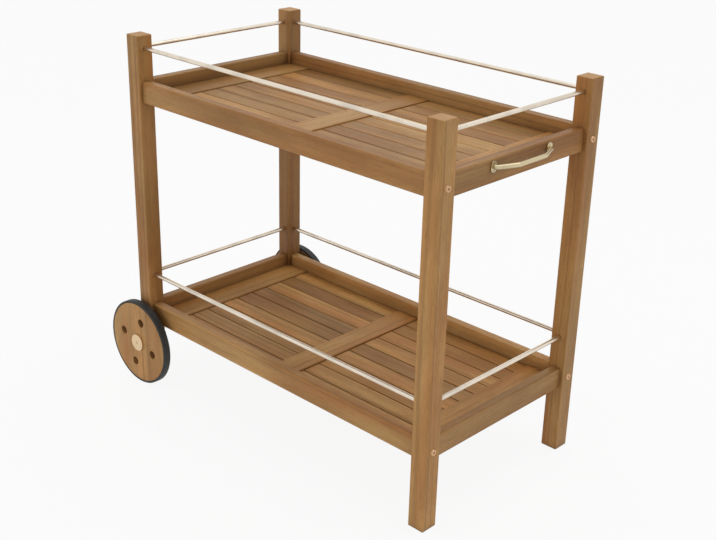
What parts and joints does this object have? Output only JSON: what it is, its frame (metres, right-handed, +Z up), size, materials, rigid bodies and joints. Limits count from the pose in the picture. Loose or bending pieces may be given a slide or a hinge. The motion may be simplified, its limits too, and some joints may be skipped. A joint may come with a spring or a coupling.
{
  "type": "bar cart",
  "caption": "Slatted wooden bar cart with an upper and a lower tray, slim metal gallery rods, a brass pull handle, and wheels at one end.",
  "frame": {"origin": "middle of the overall box, on the floor that the posts and wheels stand on", "axes": "+X along the cart towards the handle, +Y across it to the back long side, +Z up"},
  "size_m": [1.029, 0.5556, 0.85],
  "materials": {
    "frame_wood": "oiled, satin",
    "deck_wood": "oiled, satin",
    "dowel_wood": "raw",
    "rod_steel": "satin",
    "brass": "polished",
    "copper_bolt": "bronzed",
    "hidden_steel": "zinc plated",
    "hub_metal": "satin",
    "wheel_wood": "oiled, satin",
    "tyre_rubber": "matte",
    "bush_plastic": "matte"
  },
  "bodies": {
    "frame": {"front_wheel_post": "frame_wood", "back_wheel_post": "frame_wood", "front_handle_post": "frame_wood", "back_handle_post": "frame_wood", "upper_front_rail": "frame_wood", "upper_back_rail": "frame_wood", "upper_wheel_rail": "frame_wood", "upper_handle_rail": "frame_wood", "lower_front_rail": "frame_wood", "lower_back_rail": "frame_wood", "lower_wheel_rail": "frame_wood", "lower_handle_rail": "frame_wood", "upper_wheel_crossboard": "deck_wood", "upper_middle_crossboard": "deck_wood", "upper_handle_crossboard": "deck_wood", "upper_wheel_bay_slats": "deck_wood", "upper_handle_bay_slats": "deck_wood", "lower_wheel_crossboard": "deck_wood", "lower_middle_crossboard": "deck_wood", "lower_handle_crossboard": "deck_wood", "lower_wheel_bay_slats": "deck_wood", "lower_handle_bay_slats": "deck_wood", "upper_front_cleat": "deck_wood", "upper_back_cleat": "deck_wood", "lower_front_cleat": "deck_wood", "lower_back_cleat": "deck_wood", "rail_dowels": "dowel_wood", "upper_front_rod": "rod_steel", "upper_back_rod": "rod_steel", "upper_wheel_rod": "rod_steel", "upper_handle_rod": "rod_steel", "lower_front_rod": "rod_steel", "lower_back_rod": "rod_steel", "lower_wheel_rod": "rod_steel", "lower_handle_rod": "rod_steel", "pull_handle": "brass", "handle_screws": "brass", "rail_bolts": "copper_bolt", "barrel_nuts": "hidden_steel", "deck_screws": "hidden_steel", "front_axle_spacer": "hidden_steel", "front_axle_washer": "hidden_steel", "front_axle_nut": "hidden_steel", "back_axle_spacer": "hidden_steel", "back_axle_washer": "hidden_steel", "back_axle_nut": "hidden_steel", "front_hub_cap": "hub_metal", "front_axle_bolt": "hub_metal", "back_hub_cap": "hub_metal", "back_axle_bolt": "hub_metal"},
    "front_wheel": {"front_wheel_disc": "wheel_wood", "front_wheel_tyre": "tyre_rubber", "front_wheel_bush": "bush_plastic"},
    "back_wheel": {"back_wheel_disc": "wheel_wood", "back_wheel_tyre": "tyre_rubber", "back_wheel_bush": "bush_plastic"}
  },
  "joints": [
    {"name": "front_wheel_spin", "type": "hinge", "parent": "frame", "child": "front_wheel", "pos_m": [-0.4095, -0.2645, 0.105], "axis": [0, 1, 0], "continuous": true},
    {"name": "back_wheel_spin", "type": "hinge", "parent": "frame", "child": "back_wheel", "pos_m": [-0.4095, 0.2645, 0.105], "axis": [0, 1, 0], "continuous": true}
  ]
}
